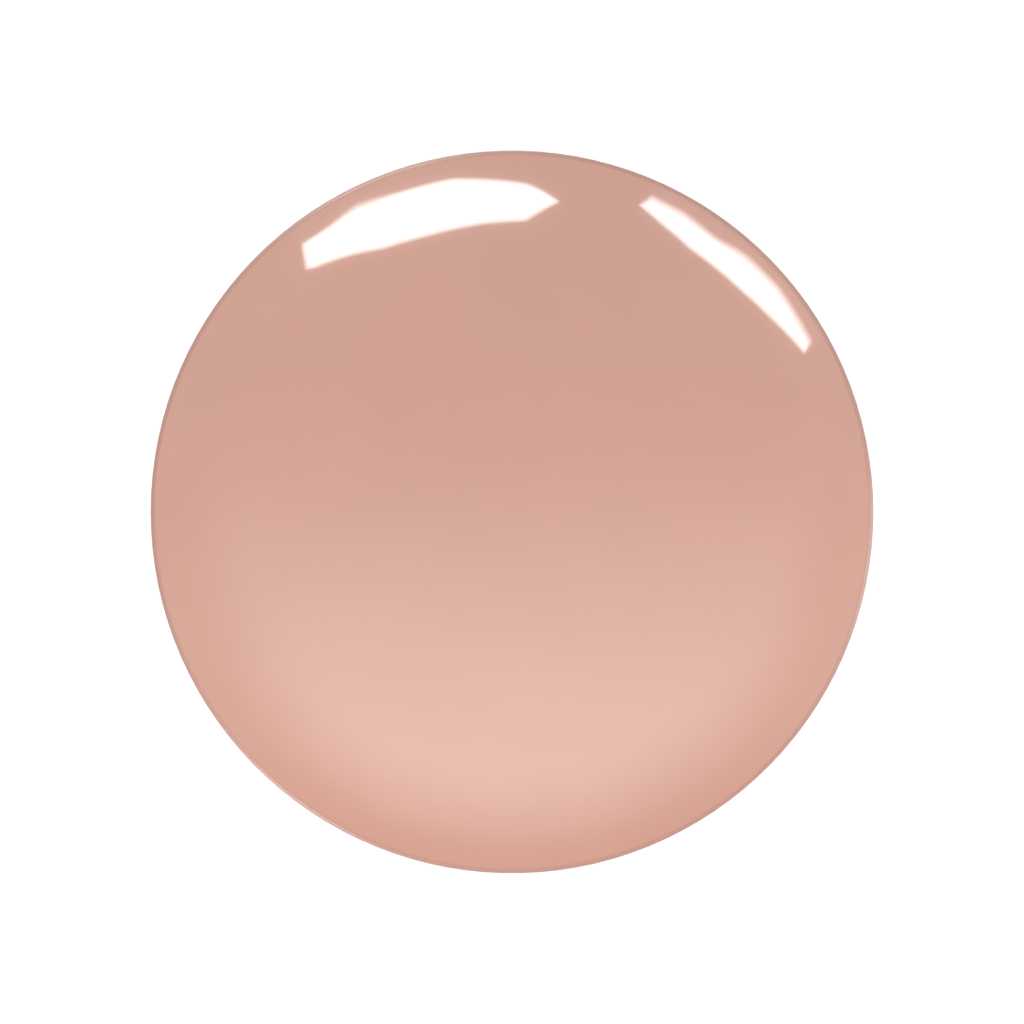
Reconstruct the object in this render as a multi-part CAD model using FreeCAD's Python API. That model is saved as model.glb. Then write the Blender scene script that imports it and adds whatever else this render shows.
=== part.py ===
"""A round salon nail polish bottle with a domed shade button on its cap, and the brush inside.

Every sub-part is one STEP file in parts/. Millimetres, +Z up, origin at the centre of the
bottle's foot. Everything but the threads, flutes, ribs and mixing balls is turned about Z.
"""

import FreeCAD, Part

import math
import os

from FreeCAD import Vector

# ---- driving dimensions -------------------------------------------------------------------
BODY_R = 14.5            # glass body
CAP_R = 15.0             # overcap and shade dome
BODY_TOP = 41.5          # flat top of the glass shoulder
GLASS_WALL = 2.2
GLASS_FOOT = 6.0         # height of the inside floor over the table
FILL_LEVEL = 33.2        # surface of the polish
CAP_HEIGHT = 31.0        # overcap shell and closure flange together

# 15-415 screw finish: 12 threads to the inch
NECK_HEIGHT = 14.1
NECK_ROOT_R = 6.55
NECK_CREST_R = 7.35
NECK_BORE_R = 4.3
PITCH = 25.4 / 12
NECK_TURNS = 2.0

BRUSH_TIP_Z = 8.2
BRISTLE_OUT = 15.5       # bristle length that shows below the rod
BRISTLE_SEAT = 4.0       # bristle length held in the rod
BRUSH_R = 2.1            # tuft at its widest

BALL_R = 2.0
SLIP = 0.05              # running gap between pieces that move on each other
FIT = 0.02               # gap between pieces that are glued or snapped together
THREAD_GAP = 0.25        # between a ridge's crest and the wall it turns in
EDGE = 0.2               # rounding of a moulded edge
OVERCUT = 1.0            # how far a cutting tool stands past the face that it cuts

# ---- heights worked out from them ---------------------------------------------------------
NECK_TOP = BODY_TOP + NECK_HEIGHT
SHOULDER_GAP = 0.6                         # between the glass and the closure's flange
CLOSURE_Z = BODY_TOP + SHOULDER_GAP
SHELL_TOP = CLOSURE_Z + CAP_HEIGHT

WASHER_Z = NECK_TOP + FIT
WASHER_T = 0.75
HEAD_Z = WASHER_Z + WASHER_T + SLIP        # underside of the brush rod's head
HEAD_T = 1.2
HEAD_TOP = HEAD_Z + HEAD_T
ROD_END_Z = BRUSH_TIP_Z + BRISTLE_OUT


# ---- helpers ------------------------------------------------------------------------------
def corner_edges(before, corner, after, radius):
    """Where a rounded corner starts and ends, and the arc between: (start, end, arc edge)."""
    back = (before - corner).normalize()
    on = (after - corner).normalize()
    half = back.getAngle(on) / 2
    reach = radius / math.tan(half)
    bisector = (back + on).normalize()
    start = corner + back * reach
    end = corner + on * reach
    middle = corner + bisector * (radius / math.sin(half) - radius)
    return start, end, Part.Arc(start, middle, end).toShape()


def outline(corners):
    """A closed outline in the XZ plane from (r, z) or (r, z, corner radius) points, as a face."""
    points = [Vector(c[0], 0, c[1]) for c in corners]
    edges = []
    starts = []
    ends = []
    arcs = []
    count = len(points)
    for i, c in enumerate(corners):
        if len(c) == 3:
            start, end, arc = corner_edges(points[i - 1], points[i], points[(i + 1) % count], c[2])
        else:
            start, end, arc = points[i], points[i], None
        starts.append(start)
        ends.append(end)
        arcs.append(arc)
    for i in range(count):
        if arcs[i]:
            edges.append(arcs[i])
        following = starts[(i + 1) % count]
        if ends[i].distanceToPoint(following) > 1e-6:
            edges.append(Part.makeLine(ends[i], following))
    return Part.Face(Part.Wire(edges))


def turned(corners):
    """A solid turned about Z from an outline given as for outline()."""
    return outline(corners).revolve(Vector(0, 0, 0), Vector(0, 0, 1), 360)


def cylinder(radius, z0, z1):
    return Part.makeCylinder(radius, z1 - z0, Vector(0, 0, z0))


def ring_of(piece, count, first_angle=0.0):
    """count copies of a piece evenly round Z, as a list."""
    copies = []
    for i in range(count):
        copy = piece.copy()
        copy.rotate(Vector(0, 0, 0), Vector(0, 0, 1), first_angle + 360.0 * i / count)
        copies.append(copy)
    return copies


def thread_ridge(root_r, crest_r, root_width, crest_width, turns, z_start, start_angle):
    """A right-hand helical ridge. It stands out of a shaft if crest_r is larger than root_r,
    and into a bore if it is smaller. z_start is the height of its middle at start_angle."""
    sink = 0.15                            # how deep the ridge's foot stands in the wall
    outward = 1 if crest_r > root_r else -1
    foot_r = root_r - outward * sink
    slope = (root_width - crest_width) / 2 / abs(crest_r - root_r)
    foot_half = root_width / 2 + slope * sink
    corners = [
        Vector(foot_r, 0, -foot_half),
        Vector(crest_r, 0, -crest_width / 2),
        Vector(crest_r, 0, crest_width / 2),
        Vector(foot_r, 0, foot_half),
    ]
    profile = Part.makePolygon(corners + corners[:1])
    helix = Part.makeHelix(PITCH, PITCH * turns, root_r)
    ridge = Part.Wire(helix.Edges).makePipeShell([profile], True, True)
    ridge.rotate(Vector(0, 0, 0), Vector(0, 0, 1), start_angle)
    ridge.translate(Vector(0, 0, z_start))
    return ridge


def fade_cut(root_r, angle, z):
    """A block that shaves a shaft's ridge away to nothing at this angle and height."""
    length = 8.0
    block = Part.makeBox(3.0, length, PITCH, Vector(root_r, -length / 2, z - PITCH / 2))
    block.rotate(Vector(0, 0, 0), Vector(0, 0, 1), angle)
    return block


def one_solid(shape):
    """The single solid of a boolean's result, with its split faces joined."""
    solids = shape.removeSplitter().Solids
    assert len(solids) == 1, len(solids)
    return solids[0]


# ---- the bottle ---------------------------------------------------------------------------
PUNT_R = 10.4            # shallow hollow in the foot, where the label sits
PUNT_DEPTH = 0.7
HEEL_R = 1.9
SHOULDER_R = 3.2
INNER_R = BODY_R - GLASS_WALL
INNER_HEEL_R = 2.6
INNER_SHOULDER_R = 3.6
INNER_TOP = BODY_TOP - 2.5                 # where the ceiling meets the wall
CEILING_RISE = 0.5                         # from there up to the neck's bore


def bottle_cavity():
    """The space inside the glass, up to the mouth."""
    return turned([
        (0, GLASS_FOOT),
        (INNER_R, GLASS_FOOT, INNER_HEEL_R),
        (INNER_R, INNER_TOP, INNER_SHOULDER_R),
        (NECK_BORE_R, INNER_TOP + CEILING_RISE, 1.2),
        (NECK_BORE_R, NECK_TOP),
        (0, NECK_TOP),
    ])


NECK_RIDGE = (1.15, 0.5)                   # width at its root and at its crest
THREAD_TOP_Z = NECK_TOP - 1.9              # middle of the neck's ridge at its last turn's end
NECK_THREAD_Z = THREAD_TOP_Z - PITCH * NECK_TURNS


def neck_thread():
    """Two turns, shaved away to nothing at both ends."""
    ridge = thread_ridge(NECK_ROOT_R, NECK_CREST_R, *NECK_RIDGE, NECK_TURNS, NECK_THREAD_Z, 0)
    end_angle = 360.0 * NECK_TURNS
    low_end = fade_cut(NECK_ROOT_R, 0, NECK_THREAD_Z)
    high_end = fade_cut(NECK_ROOT_R, end_angle, THREAD_TOP_Z)
    return ridge.cut([low_end, high_end])


BEAD_Z = BODY_TOP + 3.1                    # middle of the transfer bead under the thread
BEAD_OUT = 0.55                            # how far it stands out, and half its height
MOUTH_BEVEL = 0.4


def transfer_bead():
    foot_r = NECK_ROOT_R - 0.5
    crest_r = NECK_ROOT_R + BEAD_OUT
    rounding = BEAD_OUT - 0.05
    return turned([
        (foot_r, BEAD_Z - BEAD_OUT),
        (crest_r, BEAD_Z - BEAD_OUT, rounding),
        (crest_r, BEAD_Z + BEAD_OUT, rounding),
        (foot_r, BEAD_Z + BEAD_OUT),
    ])


def glass_bottle():
    """The body with its foot, shoulder and threaded neck, hollow up to the mouth."""
    punt_slope = 0.9
    outside = turned([
        (0, PUNT_DEPTH),
        (PUNT_R, PUNT_DEPTH, 0.5),
        (PUNT_R + punt_slope, 0, 0.6),
        (BODY_R, 0, HEEL_R),
        (BODY_R, BODY_TOP, SHOULDER_R),
        (NECK_ROOT_R, BODY_TOP, 0.7),
        (NECK_ROOT_R, NECK_TOP, 0.45),
        (0, NECK_TOP),
    ])
    bevel_r = NECK_BORE_R + MOUTH_BEVEL    # the mouth's inner edge is bevelled
    bevel = turned([
        (0, NECK_TOP + OVERCUT),
        (0, NECK_TOP - MOUTH_BEVEL),
        (NECK_BORE_R, NECK_TOP - MOUTH_BEVEL),
        (bevel_r, NECK_TOP),
        (bevel_r, NECK_TOP + OVERCUT),
    ])
    body = outside.fuse([transfer_bead(), neck_thread()])
    return one_solid(body.cut([bottle_cavity(), bevel]))


BALLS = 2
BALL_RING_R = 7.6
BALL_ANGLE = 35.0
BALL_Z = GLASS_FOOT + BALL_R + SLIP


def balls(radius):
    """A ball of this radius at each mixing ball's place."""
    ball = Part.makeSphere(radius, Vector(BALL_RING_R, 0, BALL_Z))
    return ring_of(ball, BALLS, BALL_ANGLE)


BRUSH_CHANNEL_R = BRUSH_R + 0.4
BRUSH_CHANNEL_Z = BRUSH_TIP_Z - 0.6


def polish_fill():
    """The polish up to its level, clear of the brush's way out and of the mixing balls."""
    below_level = cylinder(BODY_R, 0, FILL_LEVEL)
    channel = turned([
        (0, BRUSH_CHANNEL_Z),
        (BRUSH_CHANNEL_R, BRUSH_CHANNEL_Z, 1.0),
        (BRUSH_CHANNEL_R, FILL_LEVEL + OVERCUT),
        (0, FILL_LEVEL + OVERCUT),
    ])
    pockets = balls(BALL_R + FIT)
    return one_solid(bottle_cavity().common(below_level).cut([channel] + pockets))


LABEL_R = PUNT_R - 1.0
LABEL_T = 0.12


def base_label():
    """A thin blank film on the roof of the foot's hollow."""
    low = PUNT_DEPTH - LABEL_T
    return turned([(0, low), (LABEL_R, low), (LABEL_R, PUNT_DEPTH), (0, PUNT_DEPTH)])


# ---- the closure: threaded inner cap with the brush ---------------------------------------
GRIP_R = 8.95            # the slim inner cap that a hand holds once the overcap is off
GRIP_TOP = SHELL_TOP - 4.0
FLANGE_R = 14.2
FLANGE_T = 0.9
CLOSURE_BORE_R = NECK_CREST_R + THREAD_GAP
CLOSURE_CREST_R = NECK_ROOT_R + THREAD_GAP
CLOSURE_RIDGE = (0.95, 0.4)                # width at its root and at its crest
CLOSURE_TURNS = 1.5
HOLLOW_R = 6.9           # closed space over the brush rod's head
ROOF_T = 1.5
FLUTES = 24
FLUTE_R = 0.55
FLUTE_AXIS_R = GRIP_R + 0.25               # a flute cuts less than half of its round in
FLUTE_Z = CLOSURE_Z + FLANGE_T + 3.0       # where the flutes start, over the flange


def closure_thread():
    """The ridge in the closure. It runs midway between the turns of the neck's ridge."""
    turns_up = 0.25                        # where it starts, counted from the neck's start
    z_start = NECK_THREAD_Z + PITCH * (turns_up - 0.5)
    start_angle = 360.0 * turns_up
    return thread_ridge(
        CLOSURE_BORE_R, CLOSURE_CREST_R, *CLOSURE_RIDGE, CLOSURE_TURNS, z_start, start_angle
    )


def inner_cap():
    """A slim fluted cup with a wide flange. Its bore widens towards the flange."""
    lead_in = 1.0
    lead_in_top = CLOSURE_Z + 0.6
    outside = turned([
        (0, CLOSURE_Z),
        (FLANGE_R, CLOSURE_Z, EDGE),
        (FLANGE_R, CLOSURE_Z + FLANGE_T, EDGE),
        (GRIP_R, CLOSURE_Z + FLANGE_T, 0.4),
        (GRIP_R, GRIP_TOP, 1.2),
        (0, GRIP_TOP),
    ])
    inside = turned([
        (0, CLOSURE_Z - OVERCUT),
        (CLOSURE_BORE_R + lead_in, CLOSURE_Z - OVERCUT),
        (CLOSURE_BORE_R, lead_in_top),
        (CLOSURE_BORE_R, HEAD_TOP),
        (HOLLOW_R, HEAD_TOP),
        (HOLLOW_R, GRIP_TOP - ROOF_T, 1.0),
        (0, GRIP_TOP - ROOF_T),
    ])
    round_end = Part.makeSphere(FLUTE_R, Vector(0, 0, FLUTE_Z))
    flute = cylinder(FLUTE_R, FLUTE_Z, GRIP_TOP + OVERCUT).fuse(round_end)
    flute.translate(Vector(FLUTE_AXIS_R, 0, 0))
    cup = outside.cut([inside] + ring_of(flute, FLUTES))
    return one_solid(cup.fuse(closure_thread()))


ROD_TOP_R = 2.1          # under the head
ROD_NECK_R = 1.55        # at its slimmest
FERRULE_R = 1.8          # round the bristles
SOCKET_R = 1.25
STAPLE_H = 1.2
STAPLE_T = 0.35
WASHER_R = 7.1


def sealing_washer():
    """A soft disc on the glass rim. It hangs on the brush rod and rises with the closure."""
    top = WASHER_Z + WASHER_T
    hole_r = ROD_TOP_R + 0.25
    return turned([(hole_r, WASHER_Z), (WASHER_R, WASHER_Z, 0.1), (WASHER_R, top, 0.1), (hole_r, top)])


def brush_rod():
    """Head, centring plug and rod, with the socket for the bristles in its end."""
    head_r = CLOSURE_BORE_R - FIT
    plug_r = HOLLOW_R - FIT
    plug_inner_r = plug_r - 1.1
    plug_top = HEAD_TOP + 2.6
    ferrule_top = ROD_END_Z + BRISTLE_SEAT + 3.2
    neck_z = ferrule_top + 2.5
    socket_top = ROD_END_Z + BRISTLE_SEAT + STAPLE_H
    rod = turned([
        (0, ROD_END_Z),
        (FERRULE_R, ROD_END_Z, 0.35),
        (FERRULE_R, ferrule_top, 1.5),
        (ROD_NECK_R, neck_z, 1.5),
        (ROD_TOP_R, HEAD_Z - 1.5, 2.0),
        (ROD_TOP_R, HEAD_Z, EDGE),
        (head_r, HEAD_Z, EDGE),
        (head_r, HEAD_TOP),
        (plug_r, HEAD_TOP),
        (plug_r, plug_top, 0.4),
        (plug_inner_r, plug_top, EDGE),
        (plug_inner_r, HEAD_TOP, 0.3),
        (0, HEAD_TOP),
    ])
    socket = cylinder(SOCKET_R, ROD_END_Z - OVERCUT, socket_top)
    return one_solid(rod.cut(socket))


def brush_staple():
    """The flat wire that is driven over the folded bristles and holds them in the rod."""
    width = 2 * (SOCKET_R - SLIP)
    z0 = ROD_END_Z + BRISTLE_SEAT
    corner = Vector(-width / 2, -STAPLE_T / 2, z0)
    return Part.makeBox(width, STAPLE_T, STAPLE_H, corner)


def bristle_tuft():
    """The bristles as one body: held in the rod, widest near the tip, and rounded off."""
    seat_r = SOCKET_R - FIT
    tip_r = BRUSH_R * 0.8
    belly_z = BRUSH_TIP_Z + 5.0
    return turned([
        (0, BRUSH_TIP_Z),
        (tip_r, BRUSH_TIP_Z, 1.2),
        (BRUSH_R, belly_z, 4.0),
        (seat_r, ROD_END_Z - 0.4, 1.0),
        (seat_r, ROD_END_Z + BRISTLE_SEAT),
        (0, ROD_END_Z + BRISTLE_SEAT),
    ])


# ---- the overcap --------------------------------------------------------------------------
SHELL_WALL = 1.3
SHELL_Z = CLOSURE_Z + FLANGE_T + SLIP
SEAT_R = 13.3            # recess in the shell's top that the dome is glued in
SEAT_DEPTH = 1.1
TOP_PLATE_Z = SHELL_TOP - 2.5              # underside of the shell's top
PAD_T = 0.15


def overcap_shell():
    """The cap's outer cup, open downwards, with the seat for the shade dome in its top."""
    inner_r = CAP_R - SHELL_WALL
    return turned([
        (inner_r, SHELL_Z, 0.25),
        (CAP_R, SHELL_Z, 0.45),
        (CAP_R, SHELL_TOP, 0.35),
        (SEAT_R, SHELL_TOP, 0.1),
        (SEAT_R, SHELL_TOP - SEAT_DEPTH),
        (0, SHELL_TOP - SEAT_DEPTH),
        (0, TOP_PLATE_Z),
        (inner_r, TOP_PLATE_Z, 0.4),
    ])


RIBS = 8
RIDGES = 8               # ridges in the sleeve, each in one flute of the inner cap
RIDGE_R = 0.40
RIB_T = 0.9
SLEEVE_WALL = 1.0
SLEEVE_LIFT = 1.6        # from the shell's lower edge up to the sleeve's
RIB_LIFT = 2.0           # from there up to the ribs
INSERT_R = CAP_R - SHELL_WALL - FIT
INSERT_PLATE_T = 1.1


def overcap_insert():
    """The sleeve inside the shell that grips the inner cap, with its ribs and top plate.
    Its ridges lie in the inner cap's flutes, so that turning the overcap unscrews the closure."""
    sleeve_r = GRIP_R + SLIP
    z0 = SHELL_Z + SLEEVE_LIFT
    z1 = TOP_PLATE_Z
    plate_z = z1 - INSERT_PLATE_T
    sink = 0.3                             # how deep the ribs and ridges stand in the plate
    sleeve = turned([
        (sleeve_r, z0, 0.3),
        (sleeve_r + SLEEVE_WALL, z0, 0.3),
        (sleeve_r + SLEEVE_WALL, plate_z),
        (INSERT_R, plate_z),
        (INSERT_R, z1, 0.45),
        (0, z1),
        (0, plate_z),
        (sleeve_r, plate_z, 0.5),
    ])
    rib_start = sleeve_r + SLEEVE_WALL / 2
    rib_z = z0 + RIB_LIFT
    rib = Part.makeBox(INSERT_R - rib_start, RIB_T, plate_z + sink - rib_z)
    rib.translate(Vector(rib_start, -RIB_T / 2, rib_z))
    ribs_inside = [r.common(cylinder(INSERT_R, z0, z1)) for r in ring_of(rib, RIBS)]
    ridge = cylinder(RIDGE_R, FLUTE_Z + 1.0, plate_z + sink)
    ridge.translate(Vector(FLUTE_AXIS_R, 0, 0))
    return one_solid(sleeve.fuse(ribs_inside + ring_of(ridge, RIDGES)))


def adhesive_pad():
    """The round of double-sided film between the seat's floor and the dome."""
    low = SHELL_TOP - SEAT_DEPTH
    high = low + PAD_T
    pad_r = SEAT_R - 0.4
    return turned([(0, low), (pad_r, low), (pad_r, high), (0, high)])


CROWN_R = 24.0           # sphere that the dome's face is cut from
ROLL_R = 0.35            # rounding from the face down to the dome's edge
SKIRT_H = 0.9            # straight edge under the rounding


def shade_dome():
    """The glossy button in the polish's colour: a shallow spherical face over a plain edge."""
    roll_centre = Vector(CAP_R - ROLL_R, 0, SHELL_TOP + SKIRT_H)
    drop = math.sqrt((CROWN_R - ROLL_R) ** 2 - roll_centre.x ** 2)
    crown_centre = Vector(0, 0, roll_centre.z - drop)
    outward = (roll_centre - crown_centre).normalize()
    tangent = crown_centre + outward * CROWN_R
    apex = crown_centre + Vector(0, 0, CROWN_R)
    half_way = (outward + Vector(0, 0, 1)).normalize()
    face_arc = Part.Arc(apex, crown_centre + half_way * CROWN_R, tangent).toShape()
    edge_top = roll_centre + Vector(ROLL_R, 0, 0)
    roll_mid = roll_centre + (outward + Vector(1, 0, 0)).normalize() * ROLL_R
    roll_arc = Part.Arc(tangent, roll_mid, edge_top).toShape()

    spigot_r = SEAT_R - FIT
    spigot_z = SHELL_TOP - SEAT_DEPTH + PAD_T
    bevel = 0.25
    under = [
        edge_top,
        Vector(CAP_R, 0, SHELL_TOP + bevel),
        Vector(CAP_R - bevel, 0, SHELL_TOP),
        Vector(spigot_r, 0, SHELL_TOP),
        Vector(spigot_r, 0, spigot_z),
        Vector(0, 0, spigot_z),
        apex,
    ]
    edges = [face_arc, roll_arc] + Part.makePolygon(under).Edges
    face = Part.Face(Part.Wire(edges))
    return face.revolve(Vector(0, 0, 0), Vector(0, 0, 1), 360)


# ---- writing ------------------------------------------------------------------------------
def pieces():
    """Every sub-part by the name of its node."""
    found = {
        "glass_bottle": glass_bottle(),
        "polish_fill": polish_fill(),
        "base_label": base_label(),
        "sealing_washer": sealing_washer(),
        "inner_cap": inner_cap(),
        "brush_rod": brush_rod(),
        "brush_staple": brush_staple(),
        "bristle_tuft": bristle_tuft(),
        "overcap_shell": overcap_shell(),
        "overcap_insert": overcap_insert(),
        "adhesive_pad": adhesive_pad(),
        "shade_dome": shade_dome(),
    }
    for i, ball in enumerate(balls(BALL_R), 1):
        found[f"mixing_ball_{i}"] = ball
    return found


def main():
    os.makedirs("parts", exist_ok=True)
    for name, shape in pieces().items():
        assert shape.isValid(), name
        shape.exportStep(f"parts/{name}.step")
        box = shape.BoundBox
        print(f"{name:16s} {shape.Volume:10.2f} mm3   z {box.ZMin:7.2f} to {box.ZMax:7.2f}")


main()
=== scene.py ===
import math
import random

import bmesh
import bpy
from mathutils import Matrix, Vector

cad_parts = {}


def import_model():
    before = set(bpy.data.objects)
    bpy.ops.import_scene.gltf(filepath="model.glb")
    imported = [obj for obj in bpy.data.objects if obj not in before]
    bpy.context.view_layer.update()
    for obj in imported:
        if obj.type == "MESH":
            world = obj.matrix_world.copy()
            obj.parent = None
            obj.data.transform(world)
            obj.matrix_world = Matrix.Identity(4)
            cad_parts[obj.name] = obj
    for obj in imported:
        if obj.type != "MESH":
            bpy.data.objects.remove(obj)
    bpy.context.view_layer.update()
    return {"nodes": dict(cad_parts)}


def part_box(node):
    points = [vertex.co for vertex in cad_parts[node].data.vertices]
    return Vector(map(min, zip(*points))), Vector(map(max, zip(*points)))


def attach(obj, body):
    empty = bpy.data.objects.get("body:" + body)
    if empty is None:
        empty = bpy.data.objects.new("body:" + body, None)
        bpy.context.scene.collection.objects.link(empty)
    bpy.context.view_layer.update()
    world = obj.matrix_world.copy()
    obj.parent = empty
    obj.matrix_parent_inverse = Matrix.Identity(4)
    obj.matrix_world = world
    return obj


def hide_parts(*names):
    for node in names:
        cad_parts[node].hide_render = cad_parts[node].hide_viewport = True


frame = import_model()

MM = 0.001

# ---- where things are, read from the frame ------------------------------------------------
nodes = frame["nodes"]
dome_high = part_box("shade_dome")[1]
shell_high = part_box("overcap_shell")[1]
fill_low, fill_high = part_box("polish_fill")
tuft_low, tuft_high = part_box("bristle_tuft")

DOME_SKIRT = 0.9 * MM                      # straight edge under the dome's rounding
DOME_EDGE_Z = shell_high.z + DOME_SKIRT
CAP_R = dome_high.x
FILL_R = fill_high.x
FILL_LEVEL = fill_high.z
FILL_FLOOR = fill_low.z

# ---- colours, linear ----------------------------------------------------------------------
NUDE = (0.490, 0.258, 0.200)             # the shade on a surface
NUDE_RIM_SHADE = (0.385, 0.205, 0.165)        # the same darkened: painted shade along the dome's edge
NUDE_PAINTED_LIGHTER = (0.720, 0.375, 0.285)    # the same painted lighter behind glass: painted light that makes up for the light the glass keeps from it
NYLON = (0.060, 0.045, 0.040)
IVORY = (0.72, 0.69, 0.64)
WHITE_FOAM = (0.80, 0.80, 0.77)
STEEL = (0.62, 0.62, 0.63)
STEEL_STAIN = (0.50, 0.50, 0.51)
PAPER = (0.57, 0.57, 0.57)
PAPER_FIBRE = (0.53, 0.53, 0.53)

# ---- the studio ---------------------------------------------------------------------------
WORLD_COLOUR = (1.0, 0.985, 0.97)
WORLD_BASE = 0.92            # strength over the horizon
WORLD_GLOW = 1.45            # added high up on the near side, -Y
WORLD_BOARD = 0.85           # taken off low down on the near side
BELOW_BASE = 0.80            # strength below the horizon
STRIPS = 3
STRIP_AZIMUTH = 22.0         # degrees from +Y towards -X of the first strip
STRIP_LIGHT = 4.0            # added in a strip
STRIP_GAP = 0.18             # taken off between two strips

FLOOR_GLOW = 0.60
FLOOR_FADE = (0.06, 0.17)    # radii where the floor starts to fade, and where it ends

CAMERA_HEIGHT = 0.82         # over the dome's edge
VIEW_PER_DOME = 1.41632      # the view's width over the dome's diameter
SENSOR = 36.0                # millimetres, as the lens is

PANEL_LIGHT = 10.5
PANEL_DISTANCE = 0.5
PANEL_SOFT_EDGE = 0.014
# Corners of the two soft lights: azimuth from +Y towards +X, and elevation, in degrees.
LEFT_LIGHT = [
    (-41, 22), (-38.5, 16), (-33, 16.2), (-27, 15.4), (-19, 16.2), (-10, 16.3), (3, 18.8),
    (9.5, 23), (3, 29), (-6, 29.5), (-17, 29.7), (-26, 28.7), (-33, 26), (-38.5, 23.9),
]
RIGHT_LIGHT = [
    (21.8, 18.9), (23.5, 15.3), (30, 15.3), (36.5, 15.8), (42, 15.0), (50, 14.8), (60.5, 15.4),
    (62, 19.0), (53, 21.5), (46, 22.6), (34, 22.8), (28, 21.4),
]

# ---- the polish in the bottle -------------------------------------------------------------
LIQUID_SINK = 0.03 * MM      # how far it is drawn into the glass
LIQUID_HEEL_R = 2.6 * MM     # the bottle's inner corner

# ---- the brush ----------------------------------------------------------------------------
BRISTLES = 300
BRISTLE_R = 0.055 * MM
BRISTLE_OUT = 15.5 * MM      # length that shows below the rod
ROOT_R = 1.17 * MM           # bundle where it leaves the rod
BELLY_R = 1.95 * MM          # bundle at its widest
TIP_ROUND = 3.2 * MM         # height over which the bundle rounds off
GOLDEN_ANGLE = math.radians(137.508)
RINGS = 9                    # rings of points along a filament
SIDES = 5                    # points in a ring

LOAD_DROP = 0.25 * MM        # how far the polish on the brush hangs below the bristles
LOAD_TOP = 11.0 * MM         # how far it reaches over their tip
LOAD_TIP = 1.7 * MM          # height of its round end
LOAD_STEPS = 40

random.seed(11)


# ---- node helpers -------------------------------------------------------------------------
def new_material(name):
    made = bpy.data.materials.new(name)
    made.use_nodes = True
    tree = made.node_tree
    return made, tree, tree.nodes["Principled BSDF"]


def coordinates(tree, squash=(1, 1, 1)):
    """Object coordinates in metres, stretched by squash."""
    found = tree.nodes.new("ShaderNodeTexCoord")
    scale = tree.nodes.new("ShaderNodeMapping")
    scale.inputs["Scale"].default_value = squash
    tree.links.new(found.outputs["Object"], scale.inputs["Vector"])
    return scale.outputs["Vector"]


def noise(tree, size, detail=4.0, squash=(1, 1, 1)):
    """A 0 to 1 noise whose lumps are about size metres across."""
    made = tree.nodes.new("ShaderNodeTexNoise")
    made.inputs["Scale"].default_value = 1 / size
    made.inputs["Detail"].default_value = detail
    tree.links.new(coordinates(tree, squash), made.inputs["Vector"])
    return made.outputs["Fac"]


def ramp(tree, value, low, high, first, second):
    """A colour that goes from first to second as value goes from low to high."""
    made = tree.nodes.new("ShaderNodeValToRGB")
    made.color_ramp.interpolation = "EASE"
    ends = made.color_ramp.elements
    ends[0].position, ends[1].position = low, high
    ends[0].color = (*first, 1)
    ends[1].color = (*second, 1)
    tree.links.new(value, made.inputs["Fac"])
    return made.outputs["Color"]


def map_range(tree, value, low, high, first=0.0, second=1.0):
    """A number that goes smoothly from first to second as value goes from low to high."""
    made = tree.nodes.new("ShaderNodeMapRange")
    made.interpolation_type = "SMOOTHSTEP"
    for name, number in (("From Min", low), ("From Max", high), ("To Min", first), ("To Max", second)):
        made.inputs[name].default_value = number
    tree.links.new(value, made.inputs["Value"])
    return made.outputs["Result"]


def maths(tree, operation, first, second):
    made = tree.nodes.new("ShaderNodeMath")
    made.operation = operation
    for socket, given in zip(made.inputs, (first, second)):
        if isinstance(given, (int, float)):
            socket.default_value = given
        else:
            tree.links.new(given, socket)
    return made.outputs["Value"]


def mix_colours(tree, factor, first, second):
    made = tree.nodes.new("ShaderNodeMix")
    made.data_type = "RGBA"
    tree.links.new(factor, made.inputs[0])
    for socket, given in ((made.inputs[6], first), (made.inputs[7], second)):
        if isinstance(given, tuple):
            socket.default_value = (*given, 1)
        else:
            tree.links.new(given, socket)
    return made.outputs[2]


def axis_parts(tree):
    """The X, Y and Z of the object coordinates."""
    split = tree.nodes.new("ShaderNodeSeparateXYZ")
    tree.links.new(coordinates(tree), split.inputs["Vector"])
    return split.outputs


def radius_from_axis(tree):
    parts = axis_parts(tree)
    x2 = maths(tree, "POWER", parts["X"], 2.0)
    y2 = maths(tree, "POWER", parts["Y"], 2.0)
    return maths(tree, "SQRT", maths(tree, "ADD", x2, y2), 0.0)


def bump(tree, bsdf, height, distance, strength=1.0):
    made = tree.nodes.new("ShaderNodeBump")
    made.inputs["Strength"].default_value = strength
    made.inputs["Distance"].default_value = distance
    tree.links.new(height, made.inputs["Height"])
    tree.links.new(made.outputs["Normal"], bsdf.inputs["Normal"])


def shades(tree, value, colour, darkest, lightest=1.0):
    """A colour that varies between two strengths of itself as value goes about its middle."""
    dark, light = (tuple(c * k for c in colour) for k in (darkest, lightest))
    return ramp(tree, value, 0.3, 0.7, dark, light)


def soft_inside(bsdf, weight, depth):
    """Light that goes in and comes out again within this depth."""
    bsdf.inputs["Subsurface Weight"].default_value = weight
    bsdf.inputs["Subsurface Scale"].default_value = depth


def coat(bsdf, roughness, weight=1.0):
    bsdf.inputs["Coat Weight"].default_value = weight
    bsdf.inputs["Coat Roughness"].default_value = roughness
    bsdf.inputs["Coat IOR"].default_value = 1.5


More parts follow.
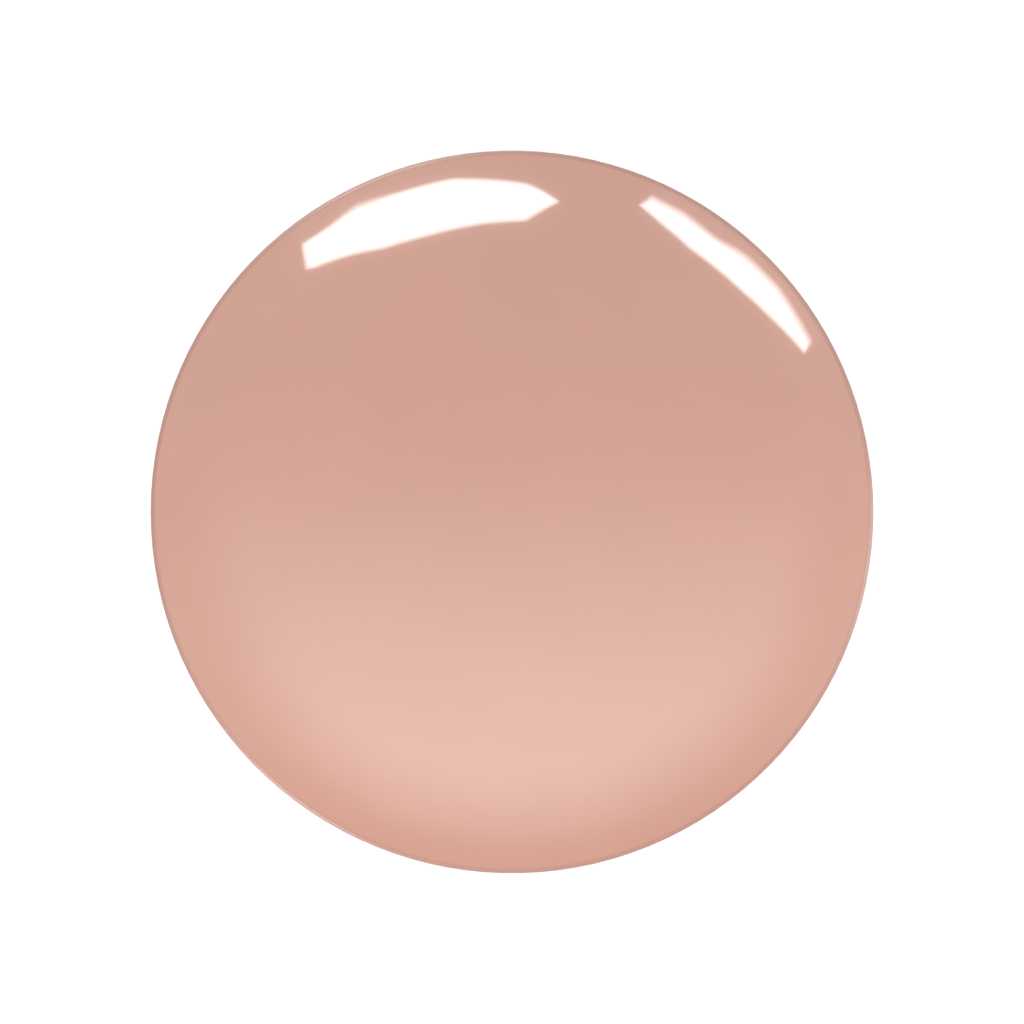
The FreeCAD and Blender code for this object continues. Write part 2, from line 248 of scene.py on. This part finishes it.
# ---- materials ----------------------------------------------------------------------------
def lacquer(name):
    """The dome's colour: creme lacquer under a clear high-gloss coat. Painted shade darkens the
    colour at the edge, and the coat is thin over the rounding, where coatings draw back."""
    made, tree, bsdf = new_material(name)
    glossy, bare = 0.08, 0.45              # roughness under the coat, and where the coat is gone
    body = shades(tree, noise(tree, 4.0 * MM, 5), NUDE, 0.985, 1.01)
    radius = radius_from_axis(tree)
    # painted shade: the colour is darkened along the dome's rim
    rim_shade = map_range(tree, radius, CAP_R - 0.26 * MM, CAP_R - 0.06 * MM)
    tree.links.new(mix_colours(tree, rim_shade, body, NUDE_RIM_SHADE), bsdf.inputs["Base Color"])
    over_edge = map_range(tree, axis_parts(tree)["Z"], DOME_EDGE_Z - 0.10 * MM, DOME_EDGE_Z)
    rounding = map_range(tree, radius, CAP_R - 0.20 * MM, CAP_R - 0.06 * MM)
    thin = maths(tree, "MULTIPLY", over_edge, rounding)
    tree.links.new(map_range(tree, thin, 0.0, 1.0, glossy, bare), bsdf.inputs["Roughness"])
    coat(bsdf, 0.02)
    tree.links.new(map_range(tree, thin, 0.0, 1.0, 1.0, 0.0), bsdf.inputs["Coat Weight"])
    return made


def gloss_plastic(name):
    """The overcap's shell: injection-moulded gloss in the same shade, with fine wipe marks."""
    made, tree, bsdf = new_material(name)
    body = shades(tree, noise(tree, 6.0 * MM, 4), NUDE, 0.97)
    tree.links.new(body, bsdf.inputs["Base Color"])
    marks = noise(tree, 1.6 * MM, 3, (1, 1, 0.1))
    tree.links.new(map_range(tree, marks, 0.3, 0.7, 0.20, 0.26), bsdf.inputs["Roughness"])
    bump(tree, bsdf, noise(tree, 11.0 * MM, 1), 0.015 * MM)
    coat(bsdf, 0.03)
    return made


def liquid_polish(name, shade):
    """Wet creme polish with the faint drifts of pigment that show in it."""
    made, tree, bsdf = new_material(name)
    cloud = noise(tree, 5.0 * MM, 6, (1, 1, 2.2))
    dark, light = (tuple(c * k for c in shade) for k in (0.97, 1.02))
    tree.links.new(ramp(tree, cloud, 0.3, 0.72, dark, light), bsdf.inputs["Base Color"])
    bsdf.inputs["Roughness"].default_value = 0.12
    soft_inside(bsdf, 0.15, 1.0 * MM)
    coat(bsdf, 0.02, 0.5)
    return made


def clear_glass(name):
    """Soda-lime glass whose surface is very slightly uneven, as blown glass is."""
    made, tree, bsdf = new_material(name)
    bsdf.inputs["Base Color"].default_value = (0.985, 0.995, 0.99, 1)
    bsdf.inputs["Transmission Weight"].default_value = 1.0
    bsdf.inputs["IOR"].default_value = 1.51
    bsdf.inputs["Roughness"].default_value = 0.0
    bump(tree, bsdf, noise(tree, 7.0 * MM, 2, (1, 1, 0.6)), 0.03 * MM, 0.6)
    return made


def moulded(name, colour, roughness):
    """Satin polyolefin: fine spark-eroded grain and a little light inside it."""
    made, tree, bsdf = new_material(name)
    spread = 0.06
    body = shades(tree, noise(tree, 5.0 * MM, 4), colour, 0.95)
    tree.links.new(body, bsdf.inputs["Base Color"])
    grains = noise(tree, 0.25 * MM, 3)
    rough = map_range(tree, grains, 0.3, 0.7, roughness - spread, roughness + spread)
    tree.links.new(rough, bsdf.inputs["Roughness"])
    bump(tree, bsdf, grains, 0.006 * MM)
    soft_inside(bsdf, 0.25, 1.2 * MM)
    return made


def nylon(name):
    """Dark filaments with lighter streaks along them: a painted highlight along each filament's length.
    """
    made, tree, bsdf = new_material(name)
    strands = noise(tree, 0.15 * MM, 2, (1, 1, 0.05))
    # painted highlight: a lighter copy of the nylon, streaked along the filaments
    painted_glint = tuple(c * 2.2 for c in NYLON)
    tree.links.new(ramp(tree, strands, 0.35, 0.65, NYLON, painted_glint), bsdf.inputs["Base Color"])
    bsdf.inputs["Roughness"].default_value = 0.32
    return made


def dipped_rod(name):
    """The rod's polyethylene, wet with polish up to where it dips in."""
    made, tree, bsdf = new_material(name)
    z = axis_parts(tree)["Z"]
    ragged = maths(tree, "MULTIPLY", noise(tree, 1.6 * MM, 3), 2.0 * MM)
    shore = FILL_LEVEL + 0.9 * MM
    wet = map_range(tree, maths(tree, "ADD", z, ragged), shore + 0.3 * MM, shore)
    dry = shades(tree, noise(tree, 4.0 * MM, 4), IVORY, 0.95)
    tree.links.new(mix_colours(tree, wet, dry, NUDE), bsdf.inputs["Base Color"])
    tree.links.new(map_range(tree, wet, 0.0, 1.0, 0.38, 0.10), bsdf.inputs["Roughness"])
    bump(tree, bsdf, wet, 0.05 * MM)
    soft_inside(bsdf, 0.15, 0.8 * MM)
    return made


def steel(name):
    """Polished steel with faint stains."""
    made, tree, bsdf = new_material(name)
    stain = noise(tree, 0.8 * MM, 5)
    tree.links.new(ramp(tree, stain, 0.3, 0.7, STEEL_STAIN, STEEL), bsdf.inputs["Base Color"])
    tree.links.new(map_range(tree, stain, 0.3, 0.7, 0.12, 0.26), bsdf.inputs["Roughness"])
    bsdf.inputs["Metallic"].default_value = 1.0
    return made


# ---- meshes -------------------------------------------------------------------------------
def mesh_object(name, verts, faces, smooth=True):
    """An object in the scene with this mesh, its faces turned outwards."""
    mesh = bpy.data.meshes.new(name)
    mesh.from_pydata([tuple(v) for v in verts], [], faces)
    mesh.validate()
    work = bmesh.new()
    work.from_mesh(mesh)
    bmesh.ops.recalc_face_normals(work, faces=work.faces)
    work.to_mesh(mesh)
    work.free()
    for face in mesh.polygons:
        face.use_smooth = smooth
    made = bpy.data.objects.new(name, mesh)
    bpy.context.scene.collection.objects.link(made)
    return made


def lathe(name, profile, count=192, wobble=None):
    """A closed solid turned about Z from (r, z) points that start and end on the axis.
    wobble(angle, r, z) may move a point of the profile as it goes round."""
    verts = []
    faces = []
    rows = []
    for r, z in profile:
        if r < 1e-9:
            rows.append([len(verts)] * count)
            verts.append((0, 0, z))
            continue
        row = []
        for i in range(count):
            angle = 2 * math.pi * i / count
            rr, zz = wobble(angle, r, z) if wobble else (r, z)
            row.append(len(verts))
            verts.append((rr * math.cos(angle), rr * math.sin(angle), zz))
        rows.append(row)
    for a, b in zip(rows, rows[1:]):
        for i in range(count):
            j = (i + 1) % count
            ring = [a[i], a[j], b[j], b[i]]
            face = [v for k, v in enumerate(ring) if v not in ring[:k]]
            if len(face) > 2:
                faces.append(face)
    return mesh_object(name, verts, faces)


def arc_points(centre, radius, start, end, count):
    """Points on an arc in the (r, z) plane, angles in degrees from the +r direction."""
    found = []
    for i in range(count + 1):
        angle = math.radians(start + (end - start) * i / count)
        found.append((centre[0] + radius * math.cos(angle), centre[1] + radius * math.sin(angle)))
    return found


def give(piece, made, body, slot, *replaced):
    """A new piece's material and body, and the CAD nodes that it stands for. The slot argument is not
    used.
    """
    piece.data.materials.clear()
    piece.data.materials.append(made)
    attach(piece, body)
    if replaced:
        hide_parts(*replaced)
    return piece


def finish_node(node, made):
    """A CAD node takes a better material in its own slots."""
    for place in nodes[node].material_slots:
        place.material = made


# ---- light, floor, camera -----------------------------------------------------------------
def world():
    """A pale studio. Over the horizon it is even, with a broad soft glow from the near side and a
    grey board along the horizon under it. Below it is a little darker, with upright strip lights
    round about that stand in the walls' reflections."""
    made = bpy.data.worlds.new("studio")
    bpy.context.scene.world = made
    made.use_nodes = True
    tree = made.node_tree
    place = tree.nodes.new("ShaderNodeTexCoord")
    split = tree.nodes.new("ShaderNodeSeparateXYZ")
    tree.links.new(place.outputs["Generated"], split.inputs["Vector"])
    x, y, z = (split.outputs[name] for name in "XYZ")

    at_glow = maths(tree, "MULTIPLY", map_range(tree, y, 0.35, -0.85), map_range(tree, z, 0.28, 0.62))
    at_board = maths(tree, "MULTIPLY", map_range(tree, y, -0.45, -0.90), map_range(tree, z, 0.42, 0.12))
    glow = maths(tree, "MULTIPLY", at_glow, WORLD_GLOW)
    board = maths(tree, "MULTIPLY", at_board, -WORLD_BOARD)
    above = maths(tree, "ADD", maths(tree, "ADD", glow, board), WORLD_BASE)

    turn = maths(tree, "ADD", maths(tree, "ARCTAN2", x, y), math.radians(STRIP_AZIMUTH))
    wave = maths(tree, "COSINE", maths(tree, "MULTIPLY", turn, STRIPS), 0.0)
    strip = maths(tree, "MULTIPLY", map_range(tree, wave, 0.72, 0.92), STRIP_LIGHT)
    gap = maths(tree, "MULTIPLY", map_range(tree, wave, -0.55, -0.95), -STRIP_GAP)
    below = maths(tree, "ADD", maths(tree, "ADD", strip, gap), BELOW_BASE)

    upper = map_range(tree, z, 0.10, 0.20)
    lower = maths(tree, "SUBTRACT", 1.0, upper)
    from_above = maths(tree, "MULTIPLY", above, upper)
    from_below = maths(tree, "MULTIPLY", below, lower)
    background = tree.nodes["Background"]
    tree.links.new(maths(tree, "ADD", from_above, from_below), background.inputs["Strength"])
    background.inputs["Color"].default_value = (*WORLD_COLOUR, 1)


def soft_panel(name, outer, width):
    """A panel inside a loop of points, with a border of that width. The attribute "inside" is 1
    within the border and fades to 0 at the loop."""
    count = len(outer)
    middle = sum(outer, Vector()) / count
    inner = []
    for i, point in enumerate(outer):
        along = (outer[(i + 1) % count] - outer[i - 1]).normalized()
        inward = along.cross(point - Vector((0, 0, DOME_EDGE_Z))).normalized()
        if inward.dot(middle - point) < 0:
            inward = -inward
        inner.append(point + inward * width)
    border = [[i, (i + 1) % count, count + (i + 1) % count, count + i] for i in range(count)]
    made = mesh_object(name, outer + inner, border + [[count + i for i in range(count)]], smooth=False)
    mark = made.data.attributes.new("inside", "FLOAT", "POINT")
    mark.data.foreach_set("value", [0.0] * count + [1.0] * count)
    return made


def softbox(name, outline, radiance):
    """A shaped soft light that only reflections see. outline is (azimuth, elevation) points in
    degrees as seen from the dome, azimuth from +Y towards +X."""
    centre = Vector((0, 0, DOME_EDGE_Z))
    verts = []
    for azimuth, elevation in outline:
        a, e = math.radians(azimuth), math.radians(elevation)
        way = Vector((math.sin(a) * math.cos(e), math.cos(a) * math.cos(e), math.sin(e)))
        verts.append(centre + way * PANEL_DISTANCE)
    made = soft_panel(name, verts, PANEL_SOFT_EDGE)
    material, tree, bsdf = new_material(name)
    tree.nodes.remove(bsdf)
    light = tree.nodes.new("ShaderNodeEmission")
    inside = tree.nodes.new("ShaderNodeAttribute")
    inside.attribute_name = "inside"
    strength = map_range(tree, inside.outputs["Fac"], 0.0, 1.0, 0.0, radiance)
    tree.links.new(strength, light.inputs["Strength"])
    tree.links.new(light.outputs["Emission"], tree.nodes["Material Output"].inputs["Surface"])
    made.data.materials.append(material)
    made.visible_camera = False
    made.visible_diffuse = False
    made.visible_shadow = False


def floor():
    """A round of pale paper, lit from under its middle, that fades into the studio at its edge."""
    count = 96
    size = FLOOR_FADE[1]
    corners = []
    for i in range(count):
        angle = 2 * math.pi * i / count
        corners.append((size * math.cos(angle), size * math.sin(angle), 0))
    made = mesh_object("studio_floor", corners, [list(range(count))], smooth=False)
    material, tree, bsdf = new_material("floor_paper")
    fibres = ramp(tree, noise(tree, 2.0 * MM, 3), 0.3, 0.7, PAPER_FIBRE, PAPER)
    tree.links.new(fibres, bsdf.inputs["Base Color"])
    bsdf.inputs["Roughness"].default_value = 0.9
    bsdf.inputs["Emission Color"].default_value = (1, 1, 1, 1)
    bsdf.inputs["Emission Strength"].default_value = FLOOR_GLOW
    clear = tree.nodes.new("ShaderNodeBsdfTransparent")
    blend = tree.nodes.new("ShaderNodeMixShader")
    tree.links.new(map_range(tree, radius_from_axis(tree), *FLOOR_FADE), blend.inputs["Fac"])
    tree.links.new(bsdf.outputs["BSDF"], blend.inputs[1])
    tree.links.new(clear.outputs["BSDF"], blend.inputs[2])
    tree.links.new(blend.outputs["Shader"], tree.nodes["Material Output"].inputs["Surface"])
    made.data.materials.append(material)


def camera():
    """Straight above the dome, image up along +Y, with a long lens."""
    view_width = 2 * CAP_R * VIEW_PER_DOME
    data = bpy.data.cameras.new("camera")
    data.sensor_width = SENSOR
    data.lens = SENSOR * CAMERA_HEIGHT / view_width
    made = bpy.data.objects.new("camera", data)
    made.location = (0, 0, DOME_EDGE_Z + CAMERA_HEIGHT)
    bpy.context.scene.collection.objects.link(made)
    bpy.context.scene.camera = made
    bpy.context.scene.view_settings.view_transform = "Standard"


# ---- pieces -------------------------------------------------------------------------------
def liquid():
    """The polish in the bottle, drawn into the glass by a hair so that no gap shows in the wall,
    and climbing the wall in a meniscus."""
    r = FILL_R + LIQUID_SINK
    low = FILL_FLOOR - LIQUID_SINK
    heel_r = r - LIQUID_HEEL_R
    profile = [(0, low), (heel_r, low)]
    profile += arc_points((heel_r, low + LIQUID_HEEL_R), LIQUID_HEEL_R, -90, 0, 12)
    profile += [(r, FILL_LEVEL - 2 * MM), (r, FILL_LEVEL + 1.0 * MM)]
    profile += [(r - 0.10 * MM, FILL_LEVEL + 0.7 * MM), (r - 0.35 * MM, FILL_LEVEL + 0.3 * MM)]
    profile += [(r - 0.9 * MM, FILL_LEVEL + 0.06 * MM), (r - 1.6 * MM, FILL_LEVEL)]
    profile += [(6 * MM, FILL_LEVEL), (0, FILL_LEVEL)]

    def shore(angle, rr, z):
        lift = max(0.0, z - FILL_LEVEL)
        wave = 0.25 * math.sin(3 * angle + 1) + 0.18 * math.sin(7 * angle)
        wave += 0.1 * math.sin(13 * angle + 2)
        return rr, z + lift * wave

    made = lathe("polish", profile, 160, shore)
    # the polish behind the glass takes a lighter copy of the shade: painted light
    give(made, liquid_polish("polish_liquid_painted_lighter", NUDE_PAINTED_LIGHTER), "bottle", "polish", "polish_fill")


def bundle_r(height):
    """The dry bundle's radius at a height over its tip."""
    t = min(1.0, height / BRISTLE_OUT)
    swell = math.sin(math.pi * min(1.0, (1 - t) * 1.25) / 2)
    tip = math.sqrt(1 - max(0.0, 1 - height / TIP_ROUND) ** 2)
    return (ROOT_R + (BELLY_R - ROOT_R) * swell) * (0.55 + 0.45 * tip)


def bristles():
    """Some hundreds of nylon filaments, packed at the root and cut to a round tip."""
    top = tuft_high.z
    verts = []
    faces = []
    for k in range(BRISTLES):
        share = math.sqrt((k + 0.5) / BRISTLES)
        angle = k * GOLDEN_ANGLE
        lean = random.uniform(-0.09, 0.09)
        end = tuft_low.z + 0.15 * MM + 1.5 * MM * share ** 2 + random.uniform(0, 0.35) * MM
        start = len(verts)
        for ring in range(RINGS):
            z = top + (end - top) * ring / (RINGS - 1)
            r = share * bundle_r(max(0.0, z - tuft_low.z)) * 0.97
            turn = angle + lean * ring / RINGS
            thick = BRISTLE_R * (1.0 if ring < RINGS - 1 else 0.45)
            for side in range(SIDES):
                way = 2 * math.pi * side / SIDES
                verts.append((
                    r * math.cos(turn) + thick * math.cos(way),
                    r * math.sin(turn) + thick * math.sin(way),
                    z,
                ))
        for ring in range(RINGS - 1):
            for side in range(SIDES):
                a = start + ring * SIDES + side
                b = start + ring * SIDES + (side + 1) % SIDES
                faces.append([a, b, b + SIDES, a + SIDES])
        faces.append([start + side for side in range(SIDES)][::-1])
        faces.append([start + (RINGS - 1) * SIDES + side for side in range(SIDES)])
    made = mesh_object("bristles", verts, faces)
    give(made, nylon("bristle_nylon"), "closure", "nylon_bristle", "bristle_tuft")


def brush_load():
    """The polish that the bristles carry: grooved along them, full at the belly, and drawn to
    a drop at the tip."""
    low = tuft_low.z - LOAD_DROP
    high = tuft_low.z + LOAD_TOP
    profile = [(0, low)]
    for i in range(1, LOAD_STEPS):
        z = low + (high - low) * (i / LOAD_STEPS) ** 1.6
        r = bundle_r(max(0.0, z - tuft_low.z)) + 0.12 * MM * math.sin(math.pi * i / LOAD_STEPS)
        r *= math.sqrt(1 - max(0.0, 1 - (z - low) / LOAD_TIP) ** 2)
        profile.append((r, z))
    profile.append((bundle_r(high - tuft_low.z) * 0.93, high))
    profile.append((0, high))

    def grooves(angle, r, z):
        up = (z - low) / (high - low)
        groove = 0.035 * math.sin(17 * angle + 2 * math.sin(3 * angle))
        groove += 0.02 * math.sin(29 * angle + 1)
        shore = 1.3 * MM * math.sin(5 * angle + 1) + 0.7 * MM * math.sin(11 * angle)
        return r * (1 + groove * up), z + shore * max(0.0, up - 0.6)

    made = lathe("brush_load", profile, 120, grooves)
    give(made, liquid_polish("load_polish", NUDE), "closure", "polish")


def main():
    """The studio, then the CAD nodes' materials, then the pieces that replace the soft ones."""
    camera()
    world()
    floor()
    softbox("light_left", LEFT_LIGHT, PANEL_LIGHT)
    softbox("light_right", RIGHT_LIGHT, PANEL_LIGHT)

    finish_node("shade_dome", lacquer("dome_lacquer"))
    finish_node("overcap_shell", gloss_plastic("shell_gloss"))
    finish_node("glass_bottle", clear_glass("bottle_glass"))
    finish_node("inner_cap", moulded("cap_satin", IVORY, 0.42))
    finish_node("overcap_insert", moulded("insert_satin", IVORY, 0.45))
    finish_node("brush_rod", dipped_rod("rod_satin"))
    finish_node("sealing_washer", moulded("washer_foam", WHITE_FOAM, 0.7))
    finish_node("adhesive_pad", moulded("pad_film", WHITE_FOAM, 0.5))
    finish_node("base_label", moulded("label_film", WHITE_FOAM, 0.3))
    for node in ("mixing_ball_1", "mixing_ball_2", "brush_staple"):
        finish_node(node, steel(node + "_steel"))
    liquid()
    bristles()
    brush_load()


main()
